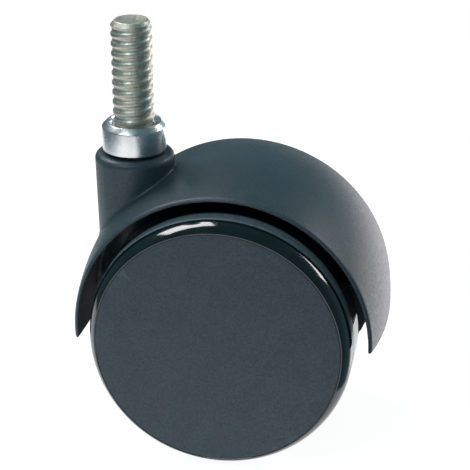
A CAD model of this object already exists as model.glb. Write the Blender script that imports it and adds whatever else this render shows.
# Hooded twin-wheel caster: the visual model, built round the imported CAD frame.
import math

import bmesh
import bpy
import numpy as np
from mathutils import Matrix, Vector


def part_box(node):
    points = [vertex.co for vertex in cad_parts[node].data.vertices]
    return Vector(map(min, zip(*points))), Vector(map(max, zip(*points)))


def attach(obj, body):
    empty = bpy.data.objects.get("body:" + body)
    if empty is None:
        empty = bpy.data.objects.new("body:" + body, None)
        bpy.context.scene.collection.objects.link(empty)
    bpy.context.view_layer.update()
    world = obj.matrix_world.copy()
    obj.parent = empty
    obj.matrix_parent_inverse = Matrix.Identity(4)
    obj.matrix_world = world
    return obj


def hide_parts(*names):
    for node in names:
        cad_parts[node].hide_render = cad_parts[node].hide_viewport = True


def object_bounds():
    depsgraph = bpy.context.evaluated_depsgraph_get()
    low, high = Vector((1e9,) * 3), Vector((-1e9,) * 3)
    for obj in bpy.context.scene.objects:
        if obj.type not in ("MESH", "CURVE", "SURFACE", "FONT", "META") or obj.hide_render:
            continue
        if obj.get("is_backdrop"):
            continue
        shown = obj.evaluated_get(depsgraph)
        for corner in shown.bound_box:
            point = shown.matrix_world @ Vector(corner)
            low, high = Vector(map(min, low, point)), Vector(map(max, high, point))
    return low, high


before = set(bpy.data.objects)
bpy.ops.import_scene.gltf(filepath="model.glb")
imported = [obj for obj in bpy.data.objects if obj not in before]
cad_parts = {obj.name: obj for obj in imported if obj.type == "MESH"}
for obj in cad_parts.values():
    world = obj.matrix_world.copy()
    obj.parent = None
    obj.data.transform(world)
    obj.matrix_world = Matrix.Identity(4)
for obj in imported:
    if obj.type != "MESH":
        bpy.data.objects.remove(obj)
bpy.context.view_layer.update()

MM = 0.001

# ---- Sizes in millimetres. The main ones are the CAD model's. ----

# The stem, its collar and the boss that it turns in, with heights over the collar's top face
THREAD_R, THREAD_LEN, PITCH, THREAD_DEPTH, THREAD_BEVEL = 3.9, 19.8, 1.9, 0.30, 0.75
SHANK_R, SHANK_DEPTH, SHANK_BEVEL = 4.2, 26.0, 0.7
GROOVE_Z, GROOVE_H, GROOVE_DEPTH, SNAP_RING_H, SNAP_RING_SLOT = -23.3, 1.2, 0.8, 1.1, 2.4
COLLAR_R, COLLAR_H, COLLAR_CHAMFER, COUNTERSINK = 6.1, 5.5, 0.9, 0.7
SOCKET_R, SOCKET_FLOOR, SLEEVE_BOTTOM, PAD_T = 5.05, -27.3, -22.0, 1.2
BOSS_TOP, BOSS_BOTTOM, BOSS_R, BOSS_BOTTOM_R, BOSS_ROUND = -6.1, -31.5, 7.6, 7.1, 1.2
THRUST_WASHER_R, THRUST_WASHER_TOP = 5.7, -5.6

# The axle, its washers and the hood, about the axle's centre
AXLE_R, AXLE_HALF, AXLE_BOSS_R, AXLE_BOSS_HALF = 3.0, 18.4, 7.5, 4.3
WASHER_R, INNER_WASHER_T, OUTER_WASHER_T, OUTER_WASHER_GAP = 6.2, 0.6, 0.5, 0.2
HOOD_R, HOOD_IN_R, HOOD_HALF, HOOD_SAG = 29.8, 27.7, 16.4, 1.5
HOOD_END, HOOD_END_BOW, HOOD_END_TILT = -2.3, 190.0, math.radians(1.3)
LIP_ROUND, LIP_INNER_ROUND, END_ROUND = 0.8, 0.22, 0.55
WEB_HALF, WEB_BOTTOM, WEB_CORNER_Z, WEB_CORNER_X = 2.0, -3.4, -1.1, 25.7
STIFFENER_ANGLES, STIFFENER_START, STIFFENER_HALF_T, STIFFENER_HALF = (22, 52, 82), 9.0, 0.9, 7.2
# How far the middle wall and the stiffeners reach into the hood's shell
INTO_SHELL = 0.5

# The wheels, with lengths outwards from the middle plane
WHEEL_R, WHEEL_IN, WHEEL_OUT = 25.0, 8.2, 20.8
SHOULDER_R, SHOULDER_LEN, INNER_SHOULDER, RIM_R, RIM_T = 5.9, 4.0, 0.6, 22.2, 2.3
COVER_IN, SEAT_R = 19.2, 23.187
HUB_R, BUSH_R, BUSH_FLANGE_R, BUSH_FLANGE_T, HUB_IN = 7.0, 4.5, 6.4, 0.7, 5.0
DISC_OUT, DISC_T, RIB_HALF_T, RIBS = 16.8, 2.0, 0.8, 8
# The ring worn on the tread: where it starts, and the shoulder's angle in degrees where it ends
WORN_START, WORN_FADE, WORN_END, WORN_END_FADE = 14.6, 0.5, 10, 3

# The clearance in radius of parts that turn, the usual small edge, and a distance beyond every shape
RUNNING, SMALL_EDGE, FAR = 0.05, 0.12, 50

# ---- The card under the caster, in metres ----
CARD_LEFT, CARD_RIGHT, CARD_FRONT, CARD_BACK = -0.125, 0.060, -0.26, 0.16

AXLE = np.array([(a + b) / 2 / MM for a, b in zip(*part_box("axle"))])


# ---- Mesh helpers ----

def add_piece(name, vertices, faces, body, nodes, material, sharp=40):
    """A mesh object from vertices in millimetres, which rides on a body and stands for CAD nodes."""
    mesh = bpy.data.meshes.new(name)
    mesh.from_pydata((np.asarray(vertices, float) * MM).tolist(), [], faces)
    work = bmesh.new()
    work.from_mesh(mesh)
    bmesh.ops.recalc_face_normals(work, faces=work.faces)
    limit = math.radians(sharp)
    for edge in work.edges:
        edge.smooth = len(edge.link_faces) == 2 and edge.calc_face_angle(0) < limit
    for face in work.faces:
        face.smooth = True
    work.to_mesh(mesh)
    work.free()
    piece = bpy.data.objects.new(name, mesh)
    bpy.context.scene.collection.objects.link(piece)
    mesh.materials.append(material)
    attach(piece, body)
    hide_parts(*nodes)
    return piece


def rounded(corners, steps=5):
    """A closed outline from (x, y, radius) corners, each turned into an arc that meets both sides."""
    outline = []
    count = len(corners)
    for i, (x, y, radius) in enumerate(corners):
        here = Vector((x, y))
        back = Vector(corners[i - 1][:2]) - here
        ahead = Vector(corners[(i + 1) % count][:2]) - here
        if radius <= 0:
            outline.append((x, y))
            continue
        half = back.angle(ahead) / 2
        reach = min(radius / math.tan(half), back.length * 0.49, ahead.length * 0.49)
        radius = reach * math.tan(half)
        start, end = here + back.normalized() * reach, here + ahead.normalized() * reach
        centre = here + (back.normalized() + ahead.normalized()).normalized() * radius / math.sin(half)
        a, b = start - centre, end - centre
        for k in range(steps + 1):
            t = k / steps
            point = (a * (1 - t) + b * t).normalized() * radius + centre
            outline.append((point.x, point.y))
    return outline


def arc(cx, cy, radius, start, end, steps):
    """Points of an arc, with angles in degrees."""
    angles = np.radians(np.linspace(start, end, steps + 1))
    return [(cx + radius * math.cos(t), cy + radius * math.sin(t)) for t in angles]


def lathe(outline, place, segments=192):
    """Turns a closed outline of (radius, along) points about the axis that place maps to.
    A point of radius 0 closes the shape on the axis."""
    vertices, rings = [], []
    for radius, along in outline:
        if radius < 1e-6:
            rings.append([len(vertices)] * segments)
            vertices.append(place(0.0, 0.0, along))
            continue
        first = len(vertices)
        rings.append(list(range(first, first + segments)))
        for k in range(segments):
            t = 2 * math.pi * k / segments
            vertices.append(place(radius * math.cos(t), radius * math.sin(t), along))
    faces = []
    for i, ring in enumerate(rings):
        after = rings[(i + 1) % len(rings)]
        for k in range(segments):
            quad = [ring[k], ring[(k + 1) % segments], after[(k + 1) % segments], after[k]]
            face = list(dict.fromkeys(quad))
            if len(face) > 2:
                faces.append(face)
    return vertices, faces


def on_stem(x, y, along):
    """Places a shape about the stem, with along running upwards."""
    return (x, y, along)


def on_axle(side):
    """Places a shape about the axle, with along running outwards to the front (-1) or rear (+1) wheel."""
    def place(x, y, along):
        return (AXLE[0] + x, AXLE[1] + side * along, AXLE[2] + y)
    return place


def surface_net(field, low, high, step):
    """Vertices and quads of the surface where field is 0, one vertex for each grid cell that it crosses."""
    axes = [np.arange(a, b + step, step) for a, b in zip(low, high)]
    grid = np.meshgrid(*axes, indexing="ij")
    value = field(*grid)
    inside = value < 0
    cells = tuple(n - 1 for n in value.shape)
    total = np.zeros(cells + (3,), np.float32)
    hits = np.zeros(cells, np.int32)
    starts = np.stack(np.meshgrid(*[np.arange(n) for n in cells], indexing="ij"), -1)
    for axis in range(3):
        others = [a for a in range(3) if a != axis]
        for da in (0, 1):
            for db in (0, 1):
                lo = [0, 0, 0]
                lo[others[0]], lo[others[1]] = da, db
                hi = list(lo)
                hi[axis] = 1
                cut_a = tuple(slice(o, o + n) for o, n in zip(lo, cells))
                cut_b = tuple(slice(o, o + n) for o, n in zip(hi, cells))
                crossed = inside[cut_a] != inside[cut_b]
                where = starts[crossed]
                va, vb = value[cut_a][crossed], value[cut_b][crossed]
                point = where + np.array(lo)
                point = point.astype(np.float32)
                point[:, axis] += va / (va - vb)
                total[crossed] += point
                hits[crossed] += 1
    active = hits > 0
    number = np.full(cells, -1, np.int64)
    number[active] = np.arange(active.sum())
    points = total[active] / hits[active][:, None] * step + np.array(low)
    quads = []
    for axis in range(3):
        b, c = (axis + 1) % 3, (axis + 2) % 3
        first = [slice(1, -1)] * 3
        first[axis] = slice(0, -1)
        second = list(first)
        second[axis] = slice(1, None)
        sign = inside[tuple(first)].astype(int) - inside[tuple(second)].astype(int)
        at = np.argwhere(sign != 0)
        turn = sign[sign != 0]
        at = at + 1
        at[:, axis] -= 1
        ring = []
        for db, dc in ((-1, -1), (0, -1), (0, 0), (-1, 0)):
            cell = at.copy()
            cell[:, b] += db
            cell[:, c] += dc
            ring.append(number[tuple(cell.T)])
        ring = np.stack(ring, 1)
        ring[turn < 0] = ring[turn < 0][:, ::-1]
        quads.append(ring)
    quads = np.concatenate(quads)
    return settle(field, points, step), quads


def settle(field, points, step):
    """Moves points onto the surface along its gradient."""
    points = np.array(points, float)
    h = 0.02
    for _ in range(3):
        value = field(*points.T)
        slope = np.stack([
            field(*(points + offset).T) - field(*(points - offset).T)
            for offset in np.eye(3) * h
        ], 1) / (2 * h)
        square = np.maximum((slope ** 2).sum(1), 0.2)
        move = -(value / square)[:, None] * slope
        points += np.clip(move, -step / 2, step / 2)
    return points


# ---- Distance fields ----

def round_max(a, b, radius):
    """The part common to two fields, with a round edge of that radius."""
    u = np.maximum(a + radius, 0)
    v = np.maximum(b + radius, 0)
    return np.minimum(np.maximum(a, b), -radius) + np.sqrt(u * u + v * v)


def round_min(a, b, radius):
    """Both fields joined, with a fillet of that radius."""
    return -round_max(-a, -b, radius)


def tube_field(radius, along, inner_r, outer_r, low, high, edge):
    """A round tube, or a solid cylinder if inner_r is 0."""
    ends = np.maximum(low - along, along - high)
    field = round_max(radius - outer_r, ends, edge)
    if inner_r > 0:
        field = round_max(field, inner_r - radius, edge)
    return field


def hood_field(x, y, z):
    """The hood, its middle wall and stiffeners and the stem's boss, about the axle's centre."""
    radius = np.hypot(x, z)
    crown_r = (HOOD_HALF ** 2 + HOOD_SAG ** 2) / (2 * HOOD_SAG)
    crown = np.hypot(radius - (HOOD_R - crown_r), y) - crown_r
    side = np.abs(y) - HOOD_HALF
    shell = round_max(round_max(crown, side, LIP_ROUND), HOOD_IN_R - radius, LIP_INNER_ROUND)
    up = -x * math.sin(HOOD_END_TILT) + (z - HOOD_END) * math.cos(HOOD_END_TILT)
    ends = np.hypot(up - HOOD_END_BOW, y) - HOOD_END_BOW
    shell = round_max(shell, ends, END_ROUND)

    slope = np.array([WEB_CORNER_Z - WEB_BOTTOM, 1.0])
    slope /= np.hypot(*slope)
    corner = (np.abs(x) - WEB_CORNER_X) * slope[0] - (z - WEB_CORNER_Z) * slope[1]
    lower = np.maximum(WEB_BOTTOM - z, corner)
    beyond = np.where(np.abs(x) > WEB_CORNER_X, WEB_CORNER_Z - z, -FAR)
    plate = np.maximum(np.maximum(lower, beyond), radius - (HOOD_IN_R + INTO_SHELL))
    wall = round_max(plate, np.abs(y) - WEB_HALF, 0.3)
    body = round_min(shell, wall, 0.7)

    for angle in np.radians(STIFFENER_ANGLES):
        along = x * math.cos(angle) + z * math.sin(angle)
        across = np.abs(-x * math.sin(angle) + z * math.cos(angle)) - STIFFENER_HALF_T
        reach = np.maximum(STIFFENER_START - along, radius - (HOOD_IN_R + INTO_SHELL))
        rib = round_max(round_max(across, np.abs(y) - STIFFENER_HALF, 0.3), reach, 0.3)
        body = round_min(body, rib, 0.5)

    hub = round_max(radius - AXLE_BOSS_R, np.abs(y) - AXLE_BOSS_HALF, 0.3)
    body = round_min(body, hub, 0.7)

    stem_r = np.hypot(x + AXLE[0], y)
    height = z + AXLE[2]
    tapered = BOSS_TOP - BOSS_ROUND - BOSS_BOTTOM
    wall_r = BOSS_BOTTOM_R + (BOSS_R - BOSS_BOTTOM_R) / tapered * np.clip(height - BOSS_BOTTOM, 0, tapered)
    boss = round_max(stem_r - wall_r, height - BOSS_TOP, BOSS_ROUND)
    boss = round_max(boss, BOSS_BOTTOM - height, 0.5)
    outside = np.clip((radius - HOOD_IN_R) / 1.5, 0, 1)
    fillet = 0.6 - outside * 0.15
    body = round_min(body, boss, fillet)

    socket = np.maximum(stem_r - SOCKET_R, SOCKET_FLOOR - height)
    body = round_max(body, -socket, 0.25)
    return round_max(body, AXLE_R - radius, 0.25)


def core_field(x, along, y):
    """A wheel's rim, disc, hub and ribs, with along measured outwards from the middle plane."""
    radius = np.hypot(x, y)
    rim_in = RIM_R - RIM_T
    rim = tube_field(radius, along, rim_in, RIM_R, WHEEL_IN + 0.6, COVER_IN, 0.2)
    disc = tube_field(radius, along, BUSH_R, rim_in + 0.3, DISC_OUT - DISC_T, DISC_OUT, 0.15)
    hub = tube_field(radius, along, BUSH_R, HUB_R, HUB_IN + BUSH_FLANGE_T, DISC_OUT, 0.2)
    body = round_min(round_min(rim, disc, 0.6), hub, 0.6)
    spread = math.pi / RIBS
    angle = np.mod(np.arctan2(y, x) + spread, 2 * spread) - spread
    across = np.abs(radius * np.sin(angle)) - RIB_HALF_T
    rib = round_max(across, WHEEL_IN + 1.2 - along, 0.3)
    reach = np.maximum(HUB_R - 0.3 - radius, radius - rim_in - 0.3)
    rib = np.maximum(rib, np.maximum(along - (DISC_OUT - 1), reach))
    return round_max(round_min(body, rib, 0.5), BUSH_R - radius, 0.1)


# ---- Node materials ----

class Nodes:
    """Short calls for a material's node tree, over a Principled shader."""

    def __init__(self, name, roughness, metallic=0.0, **fixed):
        self.material = bpy.data.materials.new(name)
        self.material.use_nodes = True
        self.tree = self.material.node_tree
        self.tree.nodes.clear()
        self.output = self.tree.nodes.new("ShaderNodeOutputMaterial")
        self.shader = self.tree.nodes.new("ShaderNodeBsdfPrincipled")
        self.tree.links.new(self.shader.outputs[0], self.output.inputs[0])
        self.shader.inputs["Roughness"].default_value = roughness
        self.shader.inputs["Metallic"].default_value = metallic
        for socket, value in fixed.items():
            self.shader.inputs[socket.replace("_", " ")].default_value = value
        self.where = self.tree.nodes.new("ShaderNodeTexCoord").outputs["Object"]

    def put(self, value, socket):
        """Links a socket, or sets a plain value."""
        if isinstance(value, bpy.types.NodeSocket):
            self.tree.links.new(value, socket)
        else:
            socket.default_value = value

    def noise(self, size_mm, detail=3.0, stretch=None):
        node = self.tree.nodes.new("ShaderNodeTexNoise")
        node.inputs["Scale"].default_value = 1 / (size_mm * MM)
        node.inputs["Detail"].default_value = detail
        source = self.where
        if stretch:
            mapping = self.tree.nodes.new("ShaderNodeMapping")
            mapping.inputs["Scale"].default_value = stretch
            self.tree.links.new(source, mapping.inputs["Vector"])
            source = mapping.outputs[0]
        self.tree.links.new(source, node.inputs["Vector"])
        return node.outputs[0]

    def cells(self, size_mm):
        """The distance to the nearest point of a scatter."""
        node = self.tree.nodes.new("ShaderNodeTexVoronoi")
        node.inputs["Scale"].default_value = 1 / (size_mm * MM)
        self.tree.links.new(self.where, node.inputs["Vector"])
        return node.outputs["Distance"]

    def ramp(self, value, low, high, out_low=0.0, out_high=1.0):
        """A smooth step from out_low to out_high as the value goes from low to high."""
        node = self.tree.nodes.new("ShaderNodeMapRange")
        node.interpolation_type = "SMOOTHSTEP"
        for socket, number in zip(node.inputs[1:5], (low, high, out_low, out_high)):
            socket.default_value = number
        self.put(value, node.inputs[0])
        return node.outputs[0]

    def maths(self, operation, a, b=0.0):
        node = self.tree.nodes.new("ShaderNodeMath")
        node.operation = operation
        self.put(a, node.inputs[0])
        self.put(b, node.inputs[1])
        return node.outputs[0]

    def mix(self, factor, a, b):
        node = self.tree.nodes.new("ShaderNodeMix")
        node.data_type = "RGBA"
        self.put(factor, node.inputs[0])
        self.put(a, node.inputs[6])
        self.put(b, node.inputs[7])
        return node.outputs[2]

    def attribute(self, name):
        """A number kept for each vertex of the mesh."""
        node = self.tree.nodes.new("ShaderNodeAttribute")
        node.attribute_name = name
        return node.outputs["Fac"]

    def pointiness(self):
        """About 0.5 on flats, more on outward edges and less in creases."""
        return self.tree.nodes.new("ShaderNodeNewGeometry").outputs["Pointiness"]

    def bump(self, height, depth_mm, strength, before=None):
        """A normal from a height, on top of the bump before it."""
        node = self.tree.nodes.new("ShaderNodeBump")
        node.inputs["Strength"].default_value = strength
        node.inputs["Distance"].default_value = depth_mm * MM
        self.put(height, node.inputs["Height"])
        if before is not None:
            self.tree.links.new(before, node.inputs["Normal"])
        return node.outputs[0]

    def finish(self, colour, roughness=None, normal=None):
        """Fills the shader and returns the material."""
        self.put(colour, self.shader.inputs["Base Color"])
        if roughness is not None:
            self.put(roughness, self.shader.inputs["Roughness"])
        if normal is not None:
            self.tree.links.new(normal, self.shader.inputs["Normal"])
        return self.material


def textured_plastic(name, dark, light, grain_mm, rough, edge_colour, coarse=None):
    """Moulded nylon with a spark-eroded texture, faint clouds of colour and paler rubbed edges.
    The vertex attribute named by coarse marks where the surface is left duller and darker."""
    n = Nodes(name, rough[0], Specular_IOR_Level=0.5)
    clouds = n.ramp(n.noise(7.0, 2.0), 0.3, 0.7)
    speckle = n.ramp(n.noise(grain_mm * 1.6, 2.0), 0.35, 0.65)
    tone = n.maths("ADD", n.maths("MULTIPLY", clouds, 0.3), n.maths("MULTIPLY", speckle, 0.7))
    colour = n.mix(tone, (*dark, 1), (*light, 1))
    edges = n.ramp(n.pointiness(), 0.505, 0.54)
    rubbed = n.maths("MULTIPLY", edges, n.ramp(n.noise(1.6), 0.35, 0.6, 0.35, 1.0))
    colour = n.mix(n.maths("MULTIPLY", rubbed, 0.6), colour, (*edge_colour, 1))
    roughness = n.ramp(n.noise(grain_mm * 2.4), 0.3, 0.7, rough[0], rough[1])
    if coarse:
        dull = n.attribute(coarse)
        colour = n.mix(n.maths("MULTIPLY", dull, 0.6), colour, (0.004, 0.008, 0.010, 1))
        roughness = n.maths("ADD", roughness, n.maths("MULTIPLY", dull, 0.4))
    grain = n.bump(n.noise(grain_mm), 0.02, 0.75)
    pits = n.bump(n.cells(grain_mm * 1.7), 0.012, 0.5, before=grain)
    return n.finish(colour, roughness, pits)


def gloss_plastic(name, dark, light, rough, scuffed, scuffed_rough):
    """Polished nylon with faint flow waves and fine scuffs, worn matt and pale where the wheel rolls."""
    n = Nodes(name, rough[0], Specular_IOR_Level=0.85)
    worn = n.maths("MULTIPLY", n.attribute("rolling"), n.ramp(n.noise(1.1, 4.0), 0.25, 0.6, 0.8, 1.0))
    colour = n.mix(n.ramp(n.noise(5.0, 2.0), 0.3, 0.7), (*dark, 1), (*light, 1))
    colour = n.mix(worn, colour, (*scuffed, 1))
    scuffs = n.ramp(n.noise(0.35, 4.0, stretch=(1.0, 7.0, 1.0)), 0.62, 0.72)
    haze = n.ramp(n.noise(3.0, 4.0), 0.4, 0.75)
    tone = n.maths("ADD", n.maths("MULTIPLY", haze, 0.6), n.maths("MULTIPLY", scuffs, 0.4))
    roughness = n.ramp(tone, 0.0, 1.0, rough[0], rough[1])
    roughness = n.maths("ADD", roughness, n.maths("MULTIPLY", worn, scuffed_rough - rough[1]))
    waves = n.bump(n.noise(3.2, 1.0), 0.012, 0.5)
    fine = n.bump(scuffs, 0.003, 0.5, before=waves)
    grit = n.bump(n.maths("MULTIPLY", n.noise(0.18), worn), 0.02, 0.7, before=fine)
    return n.finish(colour, roughness, grit)


def zinc_plate(name):
    """Bright zinc over rolled steel: grey with green and straw tints, and darker thread roots."""
    n = Nodes(name, 0.3, 1.0)
    tint = n.mix(n.ramp(n.noise(2.6), 0.35, 0.65), (0.60, 0.62, 0.54, 1), (0.67, 0.62, 0.51, 1))
    spangle = n.mix(n.ramp(n.noise(0.7, 4.0), 0.4, 0.7), tint, (0.49, 0.52, 0.48, 1))
    roots = n.ramp(n.pointiness(), 0.495, 0.44)
    colour = n.mix(n.maths("MULTIPLY", roots, 0.8), spangle, (0.07, 0.07, 0.055, 1))
    roughness = n.ramp(n.noise(0.45, 4.0), 0.3, 0.7, 0.38, 0.58)
    rolled = n.bump(n.noise(0.25, stretch=(1.0, 1.0, 5.0)), 0.012, 0.6)
    return n.finish(colour, roughness, rolled)


def turned_metal(name, low, high, rough):
    """Plated metal with the fine rings that turning leaves, and a few pits."""
    n = Nodes(name, rough[0], 1.0)
    colour = n.mix(n.ramp(n.noise(2.0), 0.3, 0.7), (*low, 1), (*high, 1))
    rings = n.noise(0.12, 2.0, stretch=(0.02, 0.02, 1.0))
    pits = n.ramp(n.cells(0.9), 0.10, 0.04)
    roughness = n.ramp(n.noise(1.2, 4.0), 0.3, 0.75, rough[0], rough[1])
    dark = [channel * 0.5 for channel in low]
    colour = n.mix(n.maths("MULTIPLY", pits, 0.4), colour, (*dark, 1))
    lines = n.bump(rings, 0.002, 0.35)
    return n.finish(colour, roughness, n.bump(pits, -0.01, 0.4, before=lines))


def plain_acetal(name, low, high):
    """Bearing plastic with a faint machined grain."""
    n = Nodes(name, 0.35, Specular_IOR_Level=0.5)
    colour = n.mix(n.ramp(n.noise(1.5), 0.3, 0.7), (*low, 1), (*high, 1))
    roughness = n.ramp(n.noise(0.6), 0.3, 0.7, 0.35, 0.55)
    return n.finish(colour, roughness, n.bump(n.noise(0.15), 0.006, 0.5))


HOOD_PLASTIC = textured_plastic("hood_textured_nylon", (0.023, 0.047, 0.058), (0.042, 0.075, 0.090), 0.22,
                                (0.37, 0.49), (0.07, 0.10, 0.12), coarse="inside")
COVER_PLASTIC = textured_plastic("cover_textured_nylon", (0.023, 0.042, 0.058), (0.040, 0.065, 0.085), 0.26,
                                 (0.46, 0.62), (0.07, 0.10, 0.12))
CORE_PLASTIC = textured_plastic("core_nylon", (0.012, 0.017, 0.020), (0.022, 0.030, 0.035), 0.30,
                                (0.45, 0.6), (0.06, 0.07, 0.08))
TREAD_PLASTIC = gloss_plastic("tread_gloss_nylon", (0.002, 0.009, 0.011), (0.005, 0.015, 0.018), (0.08, 0.20),
                              (0.23, 0.30, 0.34), 0.42)
ZINC = zinc_plate("stem_zinc")
CHROME = turned_metal("collar_chrome", (0.76, 0.78, 0.80), (0.88, 0.89, 0.90), (0.26, 0.32))
SPRING = turned_metal("spring_steel", (0.16, 0.17, 0.19), (0.28, 0.29, 0.31), (0.32, 0.5))
BEARING = turned_metal("bearing_steel", (0.36, 0.37, 0.39), (0.50, 0.51, 0.53), (0.22, 0.38))
WASHER = turned_metal("washer_steel", (0.52, 0.53, 0.54), (0.64, 0.65, 0.66), (0.26, 0.42))
BLACK_ACETAL = plain_acetal("black_acetal", (0.006, 0.007, 0.008), (0.014, 0.016, 0.018))
NATURAL_ACETAL = plain_acetal("natural_acetal", (0.58, 0.56, 0.48), (0.68, 0.66, 0.58))


# ---- The stem's pieces ----

def thread_radius(height, angle):
    """Radius of the right-hand thread, which runs out at the collar and has a chamfered end."""
    phase = (height / PITCH - angle / (2 * math.pi)) % 1.0
    flank = abs(phase - 0.5) * 2
    depth = THREAD_DEPTH * min(max((flank - 0.18) / 0.64, 0.0), 1.0)
    soft = depth * depth * (3 * THREAD_DEPTH - 2 * depth) / THREAD_DEPTH ** 2
    radius = THREAD_R - soft
    bevel_len = THREAD_BEVEL + 0.1
    radius = min(radius, THREAD_R - THREAD_BEVEL * max(height - (THREAD_LEN - bevel_len), 0.0) / bevel_len)
    root_r = THREAD_R - THREAD_DEPTH
    runout = min(max((height + 0.2) / 0.5, 0.0), 1.0)
    return root_r + (radius - root_r) * runout if radius > root_r else radius


def threaded_stem():
    """A turned shank with its groove, then the thread. A row with no radius follows the thread."""
    segments, shank_top, thread_rows = 120, -0.9, 300
    groove_r, groove_top = SHANK_R - GROOVE_DEPTH, GROOVE_Z + GROOVE_H
    rows = [(0.0, -SHANK_DEPTH), (SHANK_R - SHANK_BEVEL, -SHANK_DEPTH), (SHANK_R, SHANK_BEVEL - SHANK_DEPTH),
            (SHANK_R, GROOVE_Z), (groove_r, GROOVE_Z), (groove_r, groove_top), (SHANK_R, groove_top),
            (SHANK_R, shank_top), (SHANK_R - SMALL_EDGE, shank_top + 0.15)]
    rows += [(None, z) for z in np.linspace(shank_top + 0.2, THREAD_LEN, thread_rows)]
    end_r = THREAD_R - THREAD_BEVEL
    rows += [(end_r - 0.25, THREAD_LEN), (end_r - 0.6, THREAD_LEN - 0.08), (0.0, THREAD_LEN - 0.1)]
    vertices, rings = [], []
    for radius, z in rows:
        if radius == 0.0:
            rings.append([len(vertices)] * segments)
            vertices.append((0, 0, z))
            continue
        rings.append([len(vertices) + k for k in range(segments)])
        for k in range(segments):
            t = 2 * math.pi * k / segments
            r = thread_radius(z, t) if radius is None else radius
            vertices.append((r * math.cos(t), r * math.sin(t), z))
    faces = []
    for low, high in zip(rings, rings[1:]):
        for k in range(segments):
            face = list(dict.fromkeys([low[k], low[(k + 1) % segments], high[(k + 1) % segments], high[k]]))
            if len(face) > 2:
                faces.append(face)
    add_piece("stem_threaded_rod", vertices, faces, "stem", ["threaded_stem"], ZINC, sharp=50)


def stem_collar():
    """The collar, with a chamfered top edge and a countersunk bore."""
    outline = rounded([
        (SHANK_R, -COLLAR_H, 0.0), (COLLAR_R, -COLLAR_H, 0.22),
        (COLLAR_R, -COLLAR_CHAMFER, 0.35), (COLLAR_R - COLLAR_CHAMFER, 0.0, 0.18),
        (SHANK_R + COUNTERSINK, 0.0, SMALL_EDGE), (SHANK_R, -COUNTERSINK, 0.0)])
    vertices, faces = lathe(outline, on_stem, 256)
    add_piece("stem_collar_ring", vertices, faces, "stem", ["stem_collar"], CHROME, sharp=60)


def retaining_ring():
    """An open ring: its section is swept round all but the slot."""
    inner, outer, low, high = SHANK_R - GROOVE_DEPTH, SOCKET_R - 0.15, GROOVE_Z, GROOVE_Z + SNAP_RING_H
    edge, steps = 0.15, 96
    section = rounded([(inner, low, edge), (outer, low, edge), (outer, high, edge), (inner, high, edge)], 3)
    gap = math.asin(SNAP_RING_SLOT / (inner + outer))
    turns = np.linspace(gap, 2 * math.pi - gap, steps + 1)
    vertices = [(r * math.cos(t), r * math.sin(t), z) for t in turns for r, z in section]
    count = len(section)
    faces = [list(range(count)), list(range(steps * count, (steps + 1) * count))]
    for i in range(steps):
        for k in range(count):
            after = (k + 1) % count
            faces.append([i * count + k, i * count + after, (i + 1) * count + after, (i + 1) * count + k])
    add_piece("stem_retaining_ring", vertices, faces, "stem", ["retaining_ring"], SPRING)


# ---- The housing's pieces ----

def hood():
    """The hood's moulding, with its inner surface marked as duller."""
    step = 0.33
    low = (-HOOD_R - 1.0, -HOOD_HALF - 1.0, -AXLE_BOSS_R - 1.5)
    high = (HOOD_R + 1.0, HOOD_HALF + 1.0, -AXLE[2] + BOSS_TOP + 1.0)
    points, quads = surface_net(hood_field, low, high, step)
    piece = add_piece("hood_moulding", points + AXLE, quads.tolist(), "housing", ["hood_body"],
                      HOOD_PLASTIC, sharp=60)
    fade = 0.2
    inside = np.clip((HOOD_IN_R + fade - np.hypot(points[:, 0], points[:, 2])) / fade, 0.0, 1.0)
    inside *= np.hypot(points[:, 0] + AXLE[0], points[:, 1]) > BOSS_R + 0.5
    piece.data.attributes.new("inside", "FLOAT", "POINT").data.foreach_set("value", inside.astype(np.float32))


def ring_piece(name, node, body, material, place, inner, outer, low, high):
    """A plain turned ring with small rounded edges."""
    edge = SMALL_EDGE
    corners = [(inner, low, edge), (outer, low, edge), (outer, high, edge), (inner, high, edge)]
    vertices, faces = lathe(rounded(corners, 3), place, 128)
    add_piece(name, vertices, faces, body, [node], material)


def socket_pieces():
    """The sleeve, the domed wear pad on the socket's floor and the washer on top of the boss."""
    ring_piece("socket_steel_sleeve", "socket_sleeve", "housing", BEARING, on_stem,
               SHANK_R + RUNNING, SOCKET_R, SLEEVE_BOTTOM, BOSS_TOP)
    pad_top = SOCKET_FLOOR + PAD_T
    dome = [(0.0, SOCKET_FLOOR), (SOCKET_R - 0.2, SOCKET_FLOOR), (SOCKET_R, SOCKET_FLOOR + 0.2),
            (SOCKET_R, pad_top - 0.3), (SOCKET_R - 0.3, pad_top - 0.04), (2.0, pad_top), (0.0, pad_top)]
    vertices, faces = lathe(dome, on_stem, 96)
    add_piece("socket_wear_pad", vertices, faces, "housing", ["thrust_pad"], BEARING)
    ring_piece("boss_thrust_washer", "thrust_washer", "housing", BLACK_ACETAL, on_stem,
               SHANK_R + 2 * RUNNING, THRUST_WASHER_R, BOSS_TOP, THRUST_WASHER_TOP)


def axle():
    """The pin that both wheels turn on, with bevelled ends."""
    bevel = 0.5
    outline = [(0.0, -AXLE_HALF), (AXLE_R - bevel, -AXLE_HALF), (AXLE_R, -AXLE_HALF + bevel),
               (AXLE_R, AXLE_HALF - bevel), (AXLE_R - bevel, AXLE_HALF), (0.0, AXLE_HALF)]
    vertices, faces = lathe(outline, on_axle(-1), 96)
    add_piece("axle_pin", vertices, faces, "housing", ["axle"], BEARING)


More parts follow.
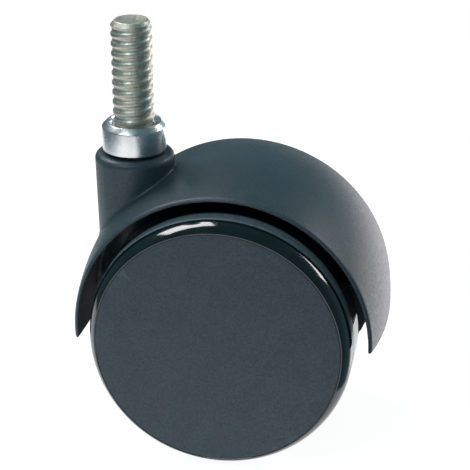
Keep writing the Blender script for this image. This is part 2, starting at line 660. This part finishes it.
def axle_hardware(side, name):
    """One wheel's two washers, and the push nut, which is the CAD model's own with a material added."""
    washers = (("inner", AXLE_BOSS_HALF, INNER_WASHER_T),
               ("outer", DISC_OUT + OUTER_WASHER_GAP, OUTER_WASHER_T))
    for which, low, thick in washers:
        ring_piece(f"{name}_{which}_spacer", f"{name}_{which}_washer", "housing", WASHER,
                   on_axle(side), AXLE_R + RUNNING, WASHER_R, low, low + thick)
    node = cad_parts[name + "_push_nut"]
    node.data.materials.clear()
    node.data.materials.append(SPRING)


# ---- The wheels' pieces ----

def wheel_core(side, name):
    """The rim, disc, hub and ribs in one moulding: the rear wheel's, mirrored for the front."""
    step = 0.4
    low = (-RIM_R - 1.0, HUB_IN - 1.0, -RIM_R - 1.0)
    high = (RIM_R + 1.0, COVER_IN + 1.0, RIM_R + 1.0)
    points, quads = surface_net(core_field, low, high, step)
    points[:, 1] *= side
    add_piece(name + "_wheel_core_moulding", points + AXLE, quads.tolist(), name + "_wheel",
              [name + "_wheel_core"], CORE_PLASTIC, sharp=60)


def tread(side, name):
    """The glossy ring: a cylinder with a small inner shoulder and a round outer one, and the cover's seat.
    The attribute rolling marks the ring that is worn matt at the start of the outer shoulder."""
    centre_r, centre_a, lip = WHEEL_R - SHOULDER_R, WHEEL_OUT - SHOULDER_LEN, 0.04
    last = math.degrees(math.acos((SEAT_R + 0.25 - centre_r) / SHOULDER_R))
    outline = [(RIM_R, WHEEL_IN + 0.3), (RIM_R + 0.3, WHEEL_IN)]
    outline += arc(WHEEL_R - INNER_SHOULDER, WHEEL_IN + INNER_SHOULDER, INNER_SHOULDER, -90, 0, 8)
    outline += [(WHEEL_R, a) for a in np.linspace(WHEEL_IN + 1.2, centre_a - 0.4, 16)]
    outline += arc(centre_r, centre_a, SHOULDER_R, 0, last, 26)
    outline += [(SEAT_R + lip, WHEEL_OUT), (SEAT_R, WHEEL_OUT - lip), (SEAT_R, COVER_IN), (RIM_R, COVER_IN)]
    vertices, faces = lathe(outline, on_axle(side), 320)
    piece = add_piece(name + "_tread_ring", vertices, faces, name + "_wheel",
                      [name + "_tread"], TREAD_PLASTIC)
    worn = []
    for x, y, z in vertices:
        radius, along = math.hypot(x - AXLE[0], z - AXLE[2]), side * (y - AXLE[1])
        turned = math.degrees(math.atan2(along - centre_a, radius - centre_r))
        outer = min(max((WORN_END - turned) / WORN_END_FADE, 0.0), 1.0)
        inner = min(max((along - WORN_START) / WORN_FADE, 0.0), 1.0)
        worn.append(outer * inner * (radius > RIM_R + 1))
    piece.data.attributes.new("rolling", "FLOAT", "POINT").data.foreach_set("value", worn)


def hub_bush(side, name):
    """The flanged plain bearing in the hub."""
    bore, out = AXLE_R + RUNNING, DISC_OUT + 0.1
    outline = rounded([
        (bore, HUB_IN, 0.15), (BUSH_FLANGE_R, HUB_IN, 0.15), (BUSH_FLANGE_R, HUB_IN + BUSH_FLANGE_T, 0.1),
        (BUSH_R, HUB_IN + BUSH_FLANGE_T, 0.1), (BUSH_R, out, 0.15), (bore, out, 0.15)], 3)
    vertices, faces = lathe(outline, on_axle(side), 128)
    add_piece(name + "_hub_bearing", vertices, faces, name + "_wheel",
              [name + "_hub_bush"], NATURAL_ACETAL)


def wheel_cover(side, name):
    """A flat disc in the tread's seat, with a round skirt behind it that locates in the rim."""
    cover_r, skirt_r, skirt_t, edge = SEAT_R - 0.03, RIM_R - RIM_T, 1.2, SMALL_EDGE
    skirt_end, bevel = DISC_OUT + 0.3, 0.3
    outline = [(0.0, COVER_IN), (skirt_r - skirt_t, COVER_IN), (skirt_r - skirt_t, skirt_end),
               (skirt_r - bevel, skirt_end), (skirt_r, skirt_end + bevel), (skirt_r, COVER_IN),
               (cover_r, COVER_IN)]
    outline += arc(cover_r - edge, WHEEL_OUT - edge, edge, 0, 90, 6)
    outline += [(r, WHEEL_OUT) for r in np.linspace(cover_r - 1.0, 2.0, 12)] + [(0.0, WHEEL_OUT)]
    vertices, faces = lathe(outline, on_axle(side), 256)
    add_piece(name + "_cover_disc", vertices, faces, name + "_wheel",
              [name + "_wheel_cover"], COVER_PLASTIC)


# ---- Stage, camera and lights ----

def aim(obj, place, target, along=(0, 0, 0), roll=0.0):
    """Points an object's -Z at the target.
    Its X runs level, or along a direction if one is given, then rolls by degrees."""
    back = (Vector(place) - Vector(target)).normalized()
    right = Vector(along) - back * Vector(along).dot(back)
    if right.length == 0:
        right = Vector((0, 0, 1)).cross(back)
    right.normalize()
    turn = math.radians(roll)
    tilted = right * math.cos(turn) + back.cross(right) * math.sin(turn)
    matrix = Matrix((tilted, back.cross(tilted), back)).transposed().to_4x4()
    matrix.translation = Vector(place)
    obj.matrix_world = matrix


def camera():
    """A long lens, from the front right and above."""
    data = bpy.data.cameras.new("camera")
    data.sensor_width = 36
    data.lens = 138.88
    data.clip_start, data.clip_end = 0.01, 50
    obj = bpy.data.objects.new("camera", data)
    bpy.context.scene.collection.objects.link(obj)
    place, target = (0.07738, -0.3151, 0.11677), (0.01933, 0.0, -0.02237)
    aim(obj, place, target, roll=-0.389)
    bpy.context.scene.camera = obj


def softbox(name, direction, along, size, radiance, colour=(1.0, 0.96, 0.96)):
    """A soft box whose face has a given radiance, in a direction from the caster and long along another."""
    centre, distance = Vector((0.02, -0.005, -0.025)), 1.1
    data = bpy.data.lights.new(name, "AREA")
    data.shape = "RECTANGLE"
    data.size, data.size_y = size
    data.energy = radiance * math.pi * size[0] * size[1]
    data.color = colour
    obj = bpy.data.objects.new(name, data)
    bpy.context.scene.collection.objects.link(obj)
    aim(obj, centre + Vector(direction).normalized() * distance, centre, along)


def floor():
    """An evenly lit white card under the caster, cut short at the sides and the back."""
    mesh = bpy.data.meshes.new("floor")
    mesh.from_pydata([(CARD_LEFT, CARD_FRONT, 0), (CARD_RIGHT, CARD_FRONT, 0),
                      (CARD_RIGHT, CARD_BACK, 0), (CARD_LEFT, CARD_BACK, 0)], [], [(0, 1, 2, 3)])
    card = bpy.data.objects.new("floor", mesh)
    card.location = (0, 0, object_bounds()[0].z)
    bpy.context.scene.collection.objects.link(card)
    n = Nodes("floor_paper", 0.9, Specular_IOR_Level=0.05,
              Emission_Color=(1, 1, 1, 1), Emission_Strength=0.93)
    fibres = n.mix(n.noise(40.0), (0.24, 0.24, 0.24, 1), (0.26, 0.26, 0.26, 1))
    mesh.materials.append(n.finish(fibres))
    card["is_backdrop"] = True


def glow(tree, direction, spans, strength):
    """A strength over part of the sky.
    A span is an axis, where the fade along it starts and ends, and the values there."""
    for axis, low, high, at_low, at_high in spans:
        fade = tree.nodes.new("ShaderNodeMapRange")
        fade.interpolation_type = "SMOOTHSTEP"
        tree.links.new(direction.outputs[axis], fade.inputs[0])
        for socket, number in zip(fade.inputs[1:5], (low, high, at_low, at_high)):
            socket.default_value = number
        product = tree.nodes.new("ShaderNodeMath")
        product.operation = "MULTIPLY"
        tree.links.new(fade.outputs[0], product.inputs[0])
        if isinstance(strength, float):
            product.inputs[1].default_value = strength
        else:
            tree.links.new(strength, product.inputs[1])
        strength = product.outputs[0]
    return strength


def surroundings():
    """A dim teal room with a paler wall and a pale ground behind.
    Where the camera looks past the card, it sees plain white."""
    world = bpy.data.worlds.new("studio")
    world.use_nodes = True
    tree = world.node_tree
    link = tree.links.new
    direction = tree.nodes.new("ShaderNodeSeparateXYZ")
    link(tree.nodes.new("ShaderNodeTexCoord").outputs["Generated"], direction.inputs[0])
    wall_light, ground_light, room_light = 0.15, 2.3, 0.14
    behind = (("Y", -0.1, 0.6, 0.0, 1.0), ("Z", 0.45, 0.85, 1.0, 0.0), ("X", -0.35, 0.3, 0.0, 1.0))
    below = (("Y", 0.55, 0.80, 0.0, 1.0), ("Z", -0.1, 0.08, 1.0, 0.0), ("X", -0.3, 0.0, 0.0, 1.0))
    wall = glow(tree, direction, behind, wall_light)
    ground = glow(tree, direction, below, ground_light)
    wall_and_room = tree.nodes.new("ShaderNodeMath")
    wall_and_room.inputs[1].default_value = room_light
    link(wall, wall_and_room.inputs[0])
    total = tree.nodes.new("ShaderNodeMath")
    link(wall_and_room.outputs[0], total.inputs[0])
    link(ground, total.inputs[1])
    tint = tree.nodes.new("ShaderNodeMix")
    tint.data_type = "RGBA"
    link(ground, tint.inputs[0])
    tint.inputs[6].default_value = (0.50, 0.86, 1.0, 1)
    tint.inputs[7].default_value = (1.0, 0.95, 0.99, 1)
    room = tree.nodes["Background"]
    link(tint.outputs[2], room.inputs[0])
    link(total.outputs[0], room.inputs[1])
    white = tree.nodes.new("ShaderNodeBackground")
    white.inputs[0].default_value = (1, 1, 1, 1)
    blend = tree.nodes.new("ShaderNodeMixShader")
    link(tree.nodes.new("ShaderNodeLightPath").outputs["Is Camera Ray"], blend.inputs[0])
    link(room.outputs[0], blend.inputs[1])
    link(white.outputs[0], blend.inputs[2])
    link(blend.outputs[0], tree.nodes["World Output"].inputs[0])
    bpy.context.scene.world = world
    bpy.context.scene.view_settings.view_transform = "Standard"


def studio():
    """The card, the room and three soft boxes."""
    floor()
    surroundings()
    softbox("softbox_left", (-0.47, 0.33, 0.80), (0.50, 0.20, 0.22), (0.62, 0.40), 9)
    softbox("softbox_right", (0.71, 0.54, 0.43), (0.30, -0.18, -0.21), (0.50, 0.20), 8)
    softbox("softbox_front", (-0.30, -0.57, 0.77), (1.0, -0.5, 0.0), (0.55, 0.40), 4.8, (0.84, 0.96, 1.0))


def build():
    """Every piece, body by body."""
    threaded_stem()
    stem_collar()
    retaining_ring()
    hood()
    socket_pieces()
    axle()
    for side, name in ((-1, "front"), (1, "rear")):
        axle_hardware(side, name)
        wheel_core(side, name)
        tread(side, name)
        hub_bush(side, name)
        wheel_cover(side, name)


camera()
build()
studio()
